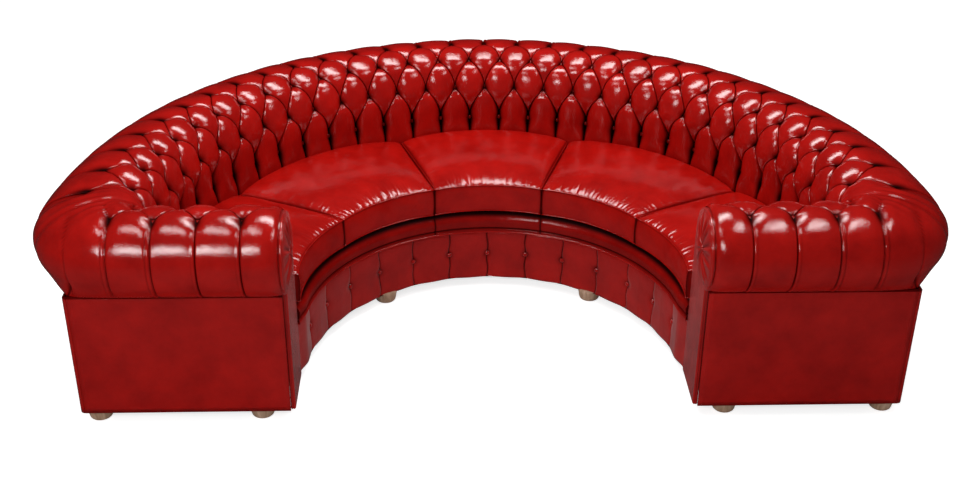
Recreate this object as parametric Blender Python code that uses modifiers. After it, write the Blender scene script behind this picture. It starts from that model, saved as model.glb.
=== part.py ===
"""Semicircular deep-buttoned sofa with a rolled back and arms, and five loose seat cushions.

Metres, +Z up, front towards -Y. The pieces are laid out around the centre of the sofa's half circle, and one
empty then moves them so that the origin is under the middle of the whole sofa, on the floor.
"""
import math

import bmesh
import bpy

# Clearances
touch_gap = 0.0003
seam_gap = 0.0006
timber_ease = 0.002
cushion_gap = 0.006
cushion_ease = 0.004

# Plan: radii are measured from the centre of the half circle
border_radius = 0.668
seat_depth = 0.460
arm_front_step = 0.013
half_turn = math.pi

# Buttoning
tuft_columns = 30
arm_button_step = 0.126
arm_pitch_share = 0.436
button_depth = 0.030
pleat_depth = 0.013
run_depth = 0.008
row_depth_shares = (0.45, 0.90, 1.0, 1.0)
pillow_share = 0.55

# Roll sections, measured outwards from the inside face and upwards from the floor
back_section = {
    "crest_height": 0.805,
    "face_drop": 0.185,
    "roll_drop": 0.165,
    "under_drop": 0.148,
    "crest_out": 0.150,
    "roll_out": 0.375,
    "under_out": 0.221,
    "top_row": 2.065,
}
arm_crest_drop = 0.017
arm_section = {
    "crest_height": back_section["crest_height"] - arm_crest_drop,
    "face_drop": 0.168,
    "roll_drop": 0.148,
    "under_drop": 0.148,
    "crest_out": 0.168,
    "roll_out": 0.322,
    "under_out": 0.168,
    "top_row": 2.167,
}
panel_share = 0.32
lower_row_stations = (1.633, 1.155, 0.750)
corner_blend_start = math.radians(78)
corner_swell = 0.016
corner_power = 0.83
corner_sharp_power = 0.08
corner_sharp_station = 3.3
mitre_turn = math.radians(25)
mitre_width = math.radians(13)
mitre_depth = 0.012
pad_thickness = 0.055

# Heights
foot_height = 0.042
rail_top = 0.245
plate_thickness = 0.040
cover_thickness = 0.0015
webbing_thickness = 0.003
platform_height = 0.089
cushion_depth = 0.112

# Boards, covers and feet
rail_thickness = 0.030
rear_rail_thickness = 0.036
rib_thickness = 0.030
top_rail_width = 0.060
top_rail_thickness = 0.030
rail_run_share = 0.3
border_thickness = 0.022
border_pleats = 14
border_pleat_depth = 0.006
border_button_height = 0.150
border_button_depth = 0.008
lip_proud = 0.006
lip_radius = 0.042
panel_thickness = 0.0165
facing_thickness = 0.036
facing_edge = 0.006
scroll_share = 0.80
scroll_thickness = 0.020
scroll_pleats = 12
scroll_pleat_depth = 0.004
foot_top_radius = 0.045
foot_bottom_radius = 0.036
foot_round = 0.006
foot_inset = 0.045
arm_foot_step = 0.119
cushion_crown = 0.050
cushion_front_power = 0.6
cushion_rear_power = 0.16
cushion_seam_swing = math.radians(4)
cushion_belly = 0.005
cushion_draw = 0.006

# Places, in degrees from the middle of the back
rib_angles = (-72, -36, 0, 36, 72)
cross_rail_angles = (-54, -18, 18, 54)
front_foot_angles = (-35, 35)
rear_foot_angles = (-54, -18, 18, 54)

# Colours: linear colour, roughness, metallic
leather_look = ((0.36, 0.012, 0.010, 1), 0.28, 0.0)
timber_look = ((0.55, 0.36, 0.19, 1), 0.65, 0.0)
foot_look = ((0.56, 0.42, 0.30, 1), 0.45, 0.0)
webbing_look = ((0.10, 0.08, 0.06, 1), 0.90, 0.0)
cover_look = ((0.012, 0.012, 0.012, 1), 0.95, 0.0)

# Worked-out sizes
tuft_angle = half_turn / tuft_columns
cover_bottom = foot_height + touch_gap
frame_bottom = cover_bottom + cover_thickness + touch_gap
webbing_bottom = rail_top + touch_gap
platform_bottom = webbing_bottom + webbing_thickness + touch_gap
platform_top = platform_bottom + platform_height
rib_bottom = frame_bottom + plate_thickness + touch_gap
cushion_bottom = platform_top + touch_gap
cushion_top = cushion_bottom + cushion_depth
timber_inset = pad_thickness + timber_ease
behind_border = (border_radius + border_thickness + touch_gap) / math.cos(tuft_angle / 2)


def panel_out(section):
    """Distance from the inside face to the outside panel's face, where the roll's underside meets it."""
    return section["under_out"] + panel_share * (section["roll_out"] - section["under_out"])


back_radius = border_radius + seat_depth
arm_front = border_radius + arm_front_step
arm_first_button = arm_front + arm_button_step
arm_tuft_pitch = (back_radius - arm_first_button) * arm_pitch_share
panel_radius = back_radius + panel_out(back_section)
arm_panel_reach = panel_out(arm_section)
arm_pad_front = arm_front + facing_thickness + touch_gap
back_reach = (back_radius + back_section["roll_out"]) * math.cos(tuft_angle / 2)
centre_shift = (arm_section["roll_out"] - back_reach) / 2


def blend(section, other, share):
    """The section part of the way from one to the other."""
    return {name: size + (other[name] - size) * share for name, size in section.items()}


def section_point(section, station):
    """Point on a roll's outline: 0 at the pad's foot, 1 where the face starts to lean back, 2 at the crest,
    3 at the outermost point and 4 where the underside meets the outside panel."""
    crest_out, crest_height = section["crest_out"], section["crest_height"]
    roll_height = crest_height - section["roll_drop"]
    if station <= 1:
        face_top = crest_height - section["face_drop"]
        return 0.0, platform_bottom + (face_top - platform_bottom) * station
    if station <= 2:
        turn = (2 - station) * math.pi / 2
        return crest_out * (1 - math.sin(turn)), crest_height - section["face_drop"] * (1 - math.cos(turn))
    if station <= 3:
        turn = (station - 2) * math.pi / 2
        reach = section["roll_out"] - crest_out
        return crest_out + reach * math.sin(turn), roll_height + section["roll_drop"] * math.cos(turn)
    turn = (station - 3) * math.acos(panel_share)
    reach = section["roll_out"] - section["under_out"]
    return section["under_out"] + reach * math.cos(turn), roll_height - section["under_drop"] * math.sin(turn)


def inset_point(section, station, depth):
    """Point of the outline moved into the roll, square to the outline."""
    nudge = 0.01
    before = section_point(section, max(station - nudge, 0))
    after = section_point(section, min(station + nudge, 4))
    along, rise = after[0] - before[0], after[1] - before[1]
    length = math.hypot(along, rise)
    out, height = section_point(section, station)
    return out + depth * rise / length, height - depth * along / length


def row_station(section, row):
    """Station of a button row: 0 on the crest, 3 the lowest, 4 the pad's foot, and -1 the underside's end."""
    stations = (4.0, section["top_row"], *lower_row_stations, 0.0)
    index = min(int(math.floor(row)) + 1, len(stations) - 2)
    share = row + 1 - index
    return stations[index] + (stations[index + 1] - stations[index]) * share


def tuft_depth(column, row):
    """Depth of the buttoned cover below its smooth outline. Buttons lie on whole columns in rows 0 and 2 and
    on half columns in rows 1 and 3. Pleats join them, and straight pleats run on past the outer rows."""
    inner_row = min(max(row, 0), 3)
    whole = math.floor(inner_row)
    lattice_row = whole + math.sin((inner_row - whole) * math.pi / 2)
    across = abs(math.sin(math.pi * (column + lattice_row / 2)))
    back = abs(math.sin(math.pi * (column - lattice_row / 2)))
    upper = min(int(whole), len(row_depth_shares) - 2)
    depth_share = row_depth_shares[upper] + (row_depth_shares[upper + 1] - row_depth_shares[upper]) * (inner_row - upper)
    near_button = 1 - max(across, back)
    valley = pleat_depth + (button_depth * depth_share - pleat_depth) * near_button
    if row < 0 or row > 3:
        past = min(-row if row < 0 else row - 3, 1)
        valley = valley + (run_depth - valley) * min(past * 2, 1)
    return valley * (1 - (across * back) ** pillow_share)


def collection(name):
    made = bpy.data.collections.new(name)
    bpy.context.scene.collection.children.link(made)
    return made


def material(name, look):
    colour, roughness, metallic = look
    made = bpy.data.materials.new(name)
    made.use_nodes = True
    shader = made.node_tree.nodes["Principled BSDF"]
    shader.inputs["Base Color"].default_value = colour
    shader.inputs["Roughness"].default_value = roughness
    shader.inputs["Metallic"].default_value = metallic
    made.diffuse_color = colour
    return made


def place(made, look):
    """Puts an object in the sofa's collection, under its centre, with its own material."""
    sofa.objects.link(made)
    made.parent = centre
    made.data.materials.append(material(made.name + "_finish", look))
    return made


def mesh_object(name, points, faces, look, smooth=True):
    mesh = bpy.data.meshes.new(name)
    mesh.from_pydata(points, [], faces)
    work = bmesh.new()
    work.from_mesh(mesh)
    bmesh.ops.recalc_face_normals(work, faces=work.faces)
    work.to_mesh(mesh)
    work.free()
    if smooth:
        mesh.shade_smooth()
        mesh.set_sharp_from_angle(angle=math.radians(50))
    return place(bpy.data.objects.new(name, mesh), look)


def flat_object(name, outline, thickness, look):
    """A board cut to a plan outline, lying on z = 0 of its own frame."""
    curve = bpy.data.curves.new(name, "CURVE")
    curve.dimensions = "2D"
    curve.fill_mode = "BOTH"
    curve.extrude = thickness / 2
    spline = curve.splines.new("POLY")
    spline.points.add(len(outline) - 1)
    for point, (across, along) in zip(spline.points, outline):
        point.co = (across, along, 0, 1)
    spline.use_cyclic_u = True
    return place(bpy.data.objects.new(name, curve), look)


def arc(radius, start, end, steps):
    """Plan points on an arc, with angles measured from the middle of the back."""
    turns = [start + (end - start) * step / steps for step in range(steps + 1)]
    return [(radius * math.sin(turn), radius * math.cos(turn)) for turn in turns]


def band(inner, outer, tail=0.0, steps=tuft_columns):
    """Plan outline of a half ring, with straight tails past its ends."""
    quarter = half_turn / 2
    outside = arc(outer, -quarter, quarter, steps)
    inside = arc(inner, quarter, -quarter, steps)
    if tail:
        return [(-outer, -tail), *outside, (outer, -tail), (inner, -tail), *inside, (-inner, -tail)]
    return outside + inside


def clear_of_arms(outline, gap):
    """The half ring's straight ends, drawn back from the arms' inside faces."""
    return [(across, max(along, gap)) for across, along in outline]


def box_object(name, size, place_at, look, turn=0.0):
    mesh = bpy.data.meshes.new(name)
    work = bmesh.new()
    bmesh.ops.create_cube(work, size=1)
    bmesh.ops.scale(work, vec=size, verts=work.verts)
    work.to_mesh(mesh)
    work.free()
    made = place(bpy.data.objects.new(name, mesh), look)
    made.location = place_at
    made.rotation_euler.z = turn
    return made


def padded_shell(name, rings, inner_rings, look, column_steps):
    """A closed pad from rings of outer points and, every few rings, rings of inner points."""
    rows = len(rings[0])
    inner_rows = len(inner_rings[0])
    points = [point for ring in rings for point in ring]
    first_inner = len(points)
    points += [point for ring in inner_rings for point in ring]

    def outer(ring, row):
        return ring * rows + row

    def inner(ring, row):
        return first_inner + ring * inner_rows + row

    faces = []
    for ring in range(len(rings) - 1):
        for row in range(rows - 1):
            faces.append((outer(ring, row), outer(ring + 1, row), outer(ring + 1, row + 1), outer(ring, row + 1)))
    for ring in range(len(inner_rings) - 1):
        for row in range(inner_rows - 1):
            faces.append((inner(ring, row), inner(ring, row + 1), inner(ring + 1, row + 1), inner(ring + 1, row)))
        first = ring * column_steps
        last = min(first + column_steps, len(rings) - 1)
        for edge, inner_edge in ((0, 0), (rows - 1, inner_rows - 1)):
            run = [outer(step, edge) for step in range(first, last + 1)]
            faces.append((*run, inner(ring + 1, inner_edge), inner(ring, inner_edge)))
    for ring, inner_ring in ((0, 0), (len(rings) - 1, len(inner_rings) - 1)):
        outside = [outer(ring, row) for row in range(rows)]
        inside = [inner(inner_ring, row) for row in reversed(range(inner_rows))]
        faces.append((*outside, *inside))
    return mesh_object(name, points, faces, look)


outermost_row = (3 - back_section["top_row"]) / (back_section["top_row"] - 4)
pad_rows = (4, 3.5, 3, 2.75, 2.5, 2.25, 2, 1.75, 1.5, 1.25, 1, 0.75, 0.5, 0.25, 0,
            outermost_row / 3, outermost_row * 2 / 3, outermost_row, (outermost_row - 1) / 2, -1)
inner_stations = (0, 1, 1.4, 1.75, 2.1, 2.5, 3, 3.5, 4)
column_steps = 4


corner_section = dict(arm_section, crest_out=back_section["crest_out"])
corner_section["roll_out"] = back_section["roll_out"] + corner_swell
corner_section["under_out"] = back_section["under_out"] - corner_swell * panel_share / (1 - panel_share)


def back_section_at(turn):
    """The back's section, which takes the arm's heights near the ends of the half circle."""
    share = (abs(turn) - corner_blend_start) / (half_turn / 2 - corner_blend_start)
    share = min(max(share, 0), 1)
    return blend(back_section, corner_section, share * share * (3 - 2 * share))


def swept_point(turn, out, height, shift):
    """A point of the back at an angle, moved along the back by a little."""
    radius = back_radius + out
    return (radius * math.sin(turn) + shift * math.cos(turn), radius * math.cos(turn) - shift * math.sin(turn), height)


def make_back_pad(name, first_column, last_column):
    """A run of the buttoned back between two button columns."""
    steps = (last_column - first_column) * column_steps
    rings, inner_rings = [], []
    for step in range(steps + 1):
        column = first_column + step / column_steps
        turn = column * tuft_angle
        section = back_section_at(turn)
        shift = {0: seam_gap / 2, steps: -seam_gap / 2}.get(step, 0.0)
        ring = []
        for row in pad_rows:
            out, height = inset_point(section, row_station(section, row), tuft_depth(column, row))
            ring.append(swept_point(turn, out, height, shift))
        rings.append(ring)
        if step % column_steps == 0:
            inside = [inset_point(section, station, pad_thickness) for station in inner_stations]
            inner_rings.append([swept_point(turn, out, height, shift) for out, height in inside])
    padded_shell(name, rings, inner_rings, leather_look, column_steps)


corner_turn_shares = (0.0, 0.14, 0.28, 0.42, 0.57, 0.72, 0.86)
arm_columns = (1 / arm_pitch_share, 2, 1.75, 1.5, 1.25, 1, 0.75, 0.5, 0.25, 0)
arm_front_shares = (0.5, 0.0)


def corner_point(side, share, station, depth):
    """A point of the round corner, where the roll turns from the back's section into the arm's."""
    turn = share * math.pi / 2
    past = min(max((station - corner_sharp_station) / (4 - corner_sharp_station), 0), 1)
    power = corner_power + (corner_sharp_power - corner_power) * past * past
    back_out, back_height = inset_point(corner_section, station, depth)
    arm_out, arm_height = inset_point(arm_section, station, depth)
    return (side * (back_radius + back_out * math.cos(turn) ** power),
            -seam_gap / 2 - (arm_out - seam_gap / 2) * math.sin(turn) ** power,
            back_height + (arm_height - back_height) * share)


def corner_depth(share, row, across):
    """The corner has the last pinches of the back, one gathered crease, and the pleats of the arm."""
    turn = share * math.pi / 2
    crease = mitre_depth * max(1 - abs(turn - mitre_turn) / mitre_width, 0)
    last_back = tuft_depth(0, row) * max(1 - turn / mitre_width, 0)
    arm_pleat = tuft_depth((across - arm_first_button) / arm_tuft_pitch, row)
    fade = min(max((turn - mitre_turn) / mitre_width, 0), 1)
    return max(crease, last_back) if fade == 0 else crease + (arm_pleat - crease) * fade


def make_arm_pad(name, side):
    """The rolled arm with its round corner, from the end of the back to the facing."""
    rings, inner_rings = [], []
    for share in corner_turn_shares:
        ring = []
        for row in pad_rows:
            back_station, arm_station = row_station(corner_section, row), row_station(arm_section, row)
            station = back_station + (arm_station - back_station) * share
            across = abs(corner_point(side, share, station, 0.0)[0])
            ring.append(corner_point(side, share, station, corner_depth(share, row, across)))
        rings.append(ring)
        inner_rings.append([corner_point(side, share, station, pad_thickness) for station in inner_stations])
    places = [arm_first_button + column * arm_tuft_pitch for column in arm_columns]
    places += [arm_pad_front + (arm_first_button - arm_pad_front) * share for share in arm_front_shares]
    for across in places:
        fade = min((across - arm_pad_front) / (arm_first_button - arm_pad_front), 1) ** 0.5
        ring = []
        for row in pad_rows:
            depth = fade * tuft_depth((across - arm_first_button) / arm_tuft_pitch, row)
            out, height = inset_point(arm_section, row_station(arm_section, row), depth)
            ring.append((side * across, -out, height))
        rings.append(ring)
        inside = [inset_point(arm_section, station, pad_thickness) for station in inner_stations]
        inner_rings.append([(side * across, -out, height) for out, height in inside])
    padded_shell(name, rings, inner_rings, leather_look, 1)


def rib_outline(section):
    """Outline of a timber rib inside a roll, with a notch in its head for the top rail."""
    notch_start, notch_end = notch_span(section)
    floor = notch_height()
    curve = [inset_point(section, station, timber_inset) for station in inner_stations[1:]]
    over = [(notch_start, height_over(curve, notch_start)), (notch_start, floor),
            (notch_end, floor), (notch_end, height_over(curve, notch_end))]
    top = [index for index, point in enumerate(curve) if point[0] > notch_end][0]
    before = [point for point in curve[:top] if point[0] < notch_start]
    outer_edge, under = curve[-1][0] - timber_ease, curve[-1][1]
    return [(timber_inset, rib_bottom), *before, *over, *curve[top:-1], (outer_edge, under), (outer_edge, rib_bottom)]


def height_over(curve, out):
    """Height of the rib's head at a distance from the inside face."""
    for (start, low), (end, high) in zip(curve, curve[1:]):
        if start <= out <= end:
            return low + (high - low) * (out - start) / (end - start)
    return curve[0][1]


def notch_span(section):
    """The notch lies under the crest, as wide as the top rail."""
    half = top_rail_width / 2 + timber_ease
    return section["crest_out"] - half, section["crest_out"] + half


def notch_height():
    """Floor of the notches: the top rail stays clear of the pads where the roll is lowest."""
    heads = []
    for section in (back_section, arm_section):
        curve = [inset_point(section, station, timber_inset) for station in inner_stations[1:]]
        heads += [height_over(curve, out) for out in notch_span(section)]
    return min(heads) - timber_ease - top_rail_thickness - touch_gap


def make_rib(name, section, location, turn):
    """A rib stands in the plane across the roll: its outline's first axis points outwards."""
    made = flat_object(name, rib_outline(section), rib_thickness, timber_look)
    made.location = location
    made.rotation_euler = (math.pi / 2, 0, turn)
    return made


def make_board(name, outline, bottom, thickness, look):
    made = flat_object(name, outline, thickness, look)
    made.location.z = bottom + thickness / 2
    return made


def make_frame():
    """Timbers of the seat, back and arms."""
    front_inner = behind_border
    front_outer = front_inner + rail_thickness
    rear_outer = back_radius + timber_inset - touch_gap
    rear_inner = rear_outer - rear_rail_thickness
    rail_height = rail_top - frame_bottom
    plate_outer = panel_radius - panel_thickness - touch_gap
    make_board("front_seat_rail", clear_of_arms(band(front_inner, front_outer), touch_gap), frame_bottom,
               rail_height, timber_look)
    make_board("rear_seat_rail", clear_of_arms(band(rear_inner, rear_outer), touch_gap), frame_bottom,
               rail_height, timber_look)
    make_board("back_base_plate", clear_of_arms(band(rear_outer + touch_gap, plate_outer), touch_gap),
               frame_bottom, plate_thickness, timber_look)
    rail_start, rail_end = notch_span(back_section)
    make_board("back_top_rail", band(back_radius + rail_start + timber_ease, back_radius + rail_end - timber_ease,
                                     rail_run_share * arm_section["crest_out"]),
               notch_height() + touch_gap, top_rail_thickness, timber_look)
    for number, angle in enumerate(cross_rail_angles, 1):
        turn = math.radians(angle)
        start = front_outer + touch_gap
        end = rear_inner - touch_gap - rib_thickness ** 2 / rear_inner
        middle = (start + end) / 2
        box_object(f"cross_rail_{number}", (rib_thickness, end - start, rail_height),
                   (middle * math.sin(turn), middle * math.cos(turn), frame_bottom + rail_height / 2),
                   timber_look, -turn)
    for number, angle in enumerate(rib_angles, 1):
        turn = math.radians(angle)
        make_rib(f"back_rib_{number}", back_section_at(turn),
                 (back_radius * math.sin(turn), back_radius * math.cos(turn), 0), math.pi / 2 - turn)
    make_arm_timbers()


def make_arm_timbers():
    plate_outer = panel_radius - panel_thickness - touch_gap
    plate_start = arm_front + facing_thickness + touch_gap
    plate_reach = arm_panel_reach - panel_thickness - touch_gap
    rail_start, rail_end = notch_span(arm_section)
    for side, word in ((-1, "left"), (1, "right")):
        middle = (plate_start + plate_outer) / 2
        box_object(f"arm_base_plate_{word}", (plate_outer - plate_start, plate_reach - touch_gap, plate_thickness),
                   (side * middle, -(plate_reach + touch_gap) / 2, frame_bottom + plate_thickness / 2), timber_look)
        rib_places = (plate_start + rib_thickness, back_radius - 2 * rib_thickness)
        for number, across in enumerate(rib_places, 1):
            make_rib(f"arm_rib_{word}_{number}", arm_section, (side * across, 0, 0), -math.pi / 2)
        rail_length = back_radius + rail_run_share * back_section["crest_out"] - plate_start
        box_object(f"arm_top_rail_{word}", (rail_length, rail_end - rail_start - 2 * timber_ease, top_rail_thickness),
                   (side * (plate_start + rail_length / 2), -(rail_start + rail_end) / 2,
                    notch_height() + touch_gap + top_rail_thickness / 2), timber_look)


def make_feet():
    """Round tapered feet, each a turned profile."""
    arm_inset = arm_panel_reach - foot_inset + touch_gap
    places = []
    for side in (-1, 1):
        places.append((side * (arm_front + arm_foot_step), -arm_inset))
        places.append((side * (panel_radius - foot_inset), -arm_inset))
    front = border_radius + foot_top_radius * 0.8
    rear = panel_radius - foot_top_radius - foot_inset
    for radius, angles in ((front, front_foot_angles), (rear, rear_foot_angles)):
        for angle in angles:
            turn = math.radians(angle)
            places.append((radius * math.sin(turn), radius * math.cos(turn)))
    for number, (across, along) in enumerate(places, 1):
        make_foot(f"foot_{number}", across, along)


def make_foot(name, across, along):
    profile = [(0, foot_height), (foot_top_radius - foot_round, foot_height),
               (foot_top_radius, foot_height - foot_round), (foot_bottom_radius + foot_round / 2, foot_round),
               (foot_bottom_radius - foot_round / 2, 0), (0, 0)]
    mesh = bpy.data.meshes.new(name)
    mesh.from_pydata([(out, 0, height) for out, height in profile], [(i, i + 1) for i in range(len(profile) - 1)], [])
    made = place(bpy.data.objects.new(name, mesh), foot_look)
    made.location = (across, along, 0)
    turn = made.modifiers.new("turn", "SCREW")
    turn.steps = turn.render_steps = 14
    turn.use_merge_vertices = True
    turn.merge_threshold = 0.00005
    turn.use_smooth_shade = True


def make_webbing():
    """One broad panel of webbing under each cushion, on top of the seat rails."""
    inner = behind_border + timber_ease
    outer = back_radius + timber_inset - timber_ease
    for number in range(5):
        start = -half_turn / 2 + number * half_turn / 5 + tuft_angle / 2
        end = start + half_turn / 5 - tuft_angle
        outline = arc(outer, start, end, 5) + arc(inner, end, start, 5)
        make_board(f"webbing_{number + 1}", outline, webbing_bottom, webbing_thickness, webbing_look)


def make_seat_platform():
    """The padded deck under the cushions, whose rounded lip shows in front."""
    front = border_radius - lip_proud
    rear = back_radius - timber_ease
    profile = [(rear, platform_bottom), (rear, platform_top)]
    for step in range(5):
        turn = step / 4 * math.pi / 2
        profile.append((front + lip_radius * (1 - math.sin(turn)),
                        platform_top - lip_radius * (1 - math.cos(turn))))
    profile += [(front, platform_bottom + lip_proud), (front + lip_proud, platform_bottom)]
    ring_object("seat_platform", profile, half_turn / 2, 36, leather_look)


def ring_object(name, profile, quarter, steps, look, pleat=None):
    """A profile of radius and height swept round the half circle, closed at both ends."""
    points = []
    for step in range(steps + 1):
        turn = -quarter + 2 * quarter * step / steps
        shift = touch_gap if step in (0, steps) else 0.0
        for out, height in profile:
            radius = out + (pleat(turn, out, height) if pleat else 0.0)
            points.append((radius * math.sin(turn), radius * math.cos(turn) + shift, height))
    size = len(profile)
    faces = []
    for step in range(steps):
        for index in range(size):
            after = (index + 1) % size
            faces.append((step * size + index, step * size + after, (step + 1) * size + after, (step + 1) * size + index))
    faces.append(tuple(range(size)))
    faces.append(tuple(steps * size + index for index in reversed(range(size))))
    return mesh_object(name, points, faces, look)


def make_front_border():
    """The pleated and buttoned band between the platform's lip and the floor."""
    pitch = half_turn / border_pleats
    bottom = cover_bottom
    top = platform_bottom - touch_gap
    rear = border_radius + border_thickness

    def pleat(turn, out, height):
        if out > border_radius + border_thickness / 2:
            return 0.0
        depth = border_pleat_depth
        if abs(height - border_button_height) < border_button_depth:
            depth = border_button_depth
        return depth * (1 - abs(math.sin(math.pi * turn / pitch)))

    profile = [(rear, bottom), (rear, top), (border_radius, top), (border_radius, (top + border_button_height) / 2),
               (border_radius, border_button_height), (border_radius, (bottom + border_button_height) / 2),
               (border_radius, bottom)]
    ring_object("front_border", profile, half_turn / 2, border_pleats * 4, leather_look, pleat)


def make_outside_panels():
    """The flat leather outsides of the back and the arms."""
    inner = panel_radius - panel_thickness
    height = section_point(back_section, 4)[1] - seam_gap - cover_bottom
    make_board("outside_back", band(inner, panel_radius, arm_panel_reach), cover_bottom, height, leather_look)
    height = section_point(arm_section, 4)[1] - seam_gap - cover_bottom
    start = arm_pad_front
    end = inner - touch_gap
    for side, word in ((-1, "left"), (1, "right")):
        box_object(f"outside_arm_{word}", (end - start, panel_thickness, height),
                   (side * (start + end) / 2, -arm_panel_reach + panel_thickness / 2, cover_bottom + height / 2),
                   leather_look)


def make_facings():
    """The arms' front faces: a shaped board in leather, and the gathered scroll on it."""
    for side, word in ((-1, "left"), (1, "right")):
        curve = [section_point(arm_section, 1 + step / 6) for step in range(19)]
        outline = [(0.0, cover_bottom), *curve, (arm_panel_reach, cover_bottom)]
        points = []
        for across in (arm_front, arm_front + facing_thickness):
            points += [(side * across, -out, height) for out, height in outline]
        size = len(outline)
        faces = [tuple(range(size)), tuple(size + index for index in reversed(range(size)))]
        faces += [(i, (i + 1) % size, size + (i + 1) % size, size + i) for i in range(size)]
        made = mesh_object(f"arm_facing_{word}", points, faces, leather_look)
        round_edge = made.modifiers.new("edge", "BEVEL")
        round_edge.width = facing_edge
        round_edge.segments = 2
        round_edge.limit_method = "ANGLE"
        round_edge.angle_limit = math.radians(50)
        make_scroll(f"arm_scroll_{word}", side)


def make_scroll(name, side):
    """A domed disc of gathered leather, pleated towards its middle."""
    reach = scroll_share * (arm_section["roll_out"] - arm_section["under_out"])
    rise = scroll_share * arm_section["under_drop"]
    steps = scroll_pleats * 2
    ring_shares = (1.0, 0.96, 0.7, 0.35)
    points, faces = [], []
    for index, share in enumerate((1.0, *ring_shares)):
        for step in range(steps):
            turn = 2 * math.pi * step / steps
            dome = 0.0 if index == 0 else scroll_thickness * (1 - share ** 2) ** 0.5 + scroll_pleat_depth
            if index > 1 and step % 2:
                dome -= scroll_pleat_depth * share
            points.append((side * (arm_front - touch_gap - dome),
                           -arm_section["under_out"] + reach * share * math.cos(turn),
                           arm_section["crest_height"] - arm_section["roll_drop"] + rise * share * math.sin(turn)))
    for ring in range(len(ring_shares)):
        for step in range(steps):
            after = (step + 1) % steps
            faces.append((ring * steps + step, ring * steps + after, (ring + 1) * steps + after,
                          (ring + 1) * steps + step))
    faces.append(tuple(range(steps)))
    last = len(ring_shares) * steps
    points.append((side * (arm_front - touch_gap - scroll_thickness + scroll_pleat_depth),
                   -arm_section["under_out"], arm_section["crest_height"] - arm_section["roll_drop"]))
    faces += [(last + step, last + (step + 1) % steps, len(points) - 1) for step in range(steps)]
    mesh_object(name, points, faces, leather_look)


def make_dust_cover():
    """Thin black cloth under the frame, cut to the seat's and the arms' plan."""
    outer = panel_radius - panel_thickness - touch_gap
    inner = behind_border
    start = arm_front + facing_thickness + touch_gap
    reach = arm_panel_reach - panel_thickness - touch_gap
    quarter = half_turn / 2
    outline = [(-start, touch_gap), (-start, -reach), (-outer, -reach)]
    outline += arc(outer, -quarter, quarter, tuft_columns)
    outline += [(outer, -reach), (start, -reach), (start, touch_gap)]
    outline += clear_of_arms(arc(inner, quarter, -quarter, tuft_columns), touch_gap)
    make_board("dust_cover", outline, cover_bottom, cover_thickness, cover_look)


cushion_depth_shares = (0.0, 0.06, 0.2, 0.4, 0.6, 0.8, 0.92, 0.97, 1.0)


def crown_share(share, power=cushion_front_power):
    return max(1 - (2 * share - 1) ** 2, 0) ** power


def seam_turn(seam, deep):
    """Angle of the seam between two cushions: the outer two seams swing outwards towards the back."""
    turn = -half_turn / 2 + seam * half_turn / 5
    return turn + {1: -cushion_seam_swing, 4: cushion_seam_swing}.get(seam, 0.0) * deep


def make_cushion(number, around_steps=10):
    """A loose boxed wedge: crowned on top, fullest at the back, with sides that draw in between its corners."""
    middle = -half_turn / 2 + (number + 0.5) * half_turn / 5
    depth_steps = len(cushion_depth_shares) - 1
    front = border_radius
    rear = back_radius - cushion_ease
    side_room = cushion_gap / 2 + cushion_belly

    def plan(around, deep, swell):
        """A plan point from its shares of the cushion's width and depth, swollen outwards."""
        start, end = seam_turn(number, deep), seam_turn(number + 1, deep)
        turn = start + (end - start) * around - middle
        pull_side = cushion_draw * crown_share(deep)
        pull_end = cushion_draw * crown_share(around)
        radius = front + (rear - front) * deep
        radius += (pull_end - swell + cushion_belly) * (1 - deep) if deep < 0.5 else 0.0
        radius -= (cushion_belly - swell) * deep if deep > 0.5 else 0.0
        edge = (2 * around - 1) * (side_room + pull_side - swell)
        across = radius * math.sin(turn) - edge
        along = radius * math.cos(turn)
        return (across * math.cos(middle) + along * math.sin(middle),
                -across * math.sin(middle) + along * math.cos(middle))

    cells = [(i, j) for i in range(around_steps + 1) for j in range(depth_steps + 1)]
    edge = ([(i, 0) for i in range(around_steps)] + [(around_steps, j) for j in range(depth_steps)]
            + [(i, depth_steps) for i in range(around_steps, 0, -1)] + [(0, j) for j in range(depth_steps, 0, -1)])
    points, names = [], {}
    for level in ("top", "bottom"):
        for i, j in cells:
            around, deep = i / around_steps, cushion_depth_shares[j]
            across, along = plan(around, deep, 0.0)
            fullness = crown_share(deep, cushion_rear_power) if deep > 0.5 else crown_share(deep)
            rise = cushion_crown * crown_share(around) * fullness
            height = cushion_top + rise if level == "top" else cushion_bottom
            names[level, i, j] = len(points)
            points.append((across, along, height))
    for i, j in edge:
        across, along = plan(i / around_steps, cushion_depth_shares[j], cushion_belly)
        names["belly", i, j] = len(points)
        points.append((across, along, (cushion_top + cushion_bottom) / 2))
    faces = []
    for i in range(around_steps):
        for j in range(depth_steps):
            cell = ((i, j), (i + 1, j), (i + 1, j + 1), (i, j + 1))
            faces.append(tuple(names["top", *corner] for corner in cell))
            faces.append(tuple(names["bottom", *corner] for corner in reversed(cell)))
    for here, after in zip(edge, edge[1:] + edge[:1]):
        for low, high in (("bottom", "belly"), ("belly", "top")):
            faces.append((names[low, *here], names[low, *after], names[high, *after], names[high, *here]))
    mesh_object(f"seat_cushion_{number + 1}", points, faces, leather_look)


for old in list(bpy.data.objects):
    bpy.data.objects.remove(old)
sofa = collection("buttoned_sofa")
centre = bpy.data.objects.new("sofa_centre", None)
centre.location.y = centre_shift
sofa.objects.link(centre)

make_frame()
make_feet()
make_webbing()
make_seat_platform()
make_front_border()
make_dust_cover()
for section_number in range(5):
    first = -tuft_columns // 2 + section_number * tuft_columns // 5
    make_back_pad(f"buttoned_back_{section_number + 1}", first, first + tuft_columns // 5)
make_arm_pad("arm_pad_left", -1)
make_arm_pad("arm_pad_right", 1)
make_facings()
make_outside_panels()
for cushion_number in range(5):
    make_cushion(cushion_number)
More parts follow.
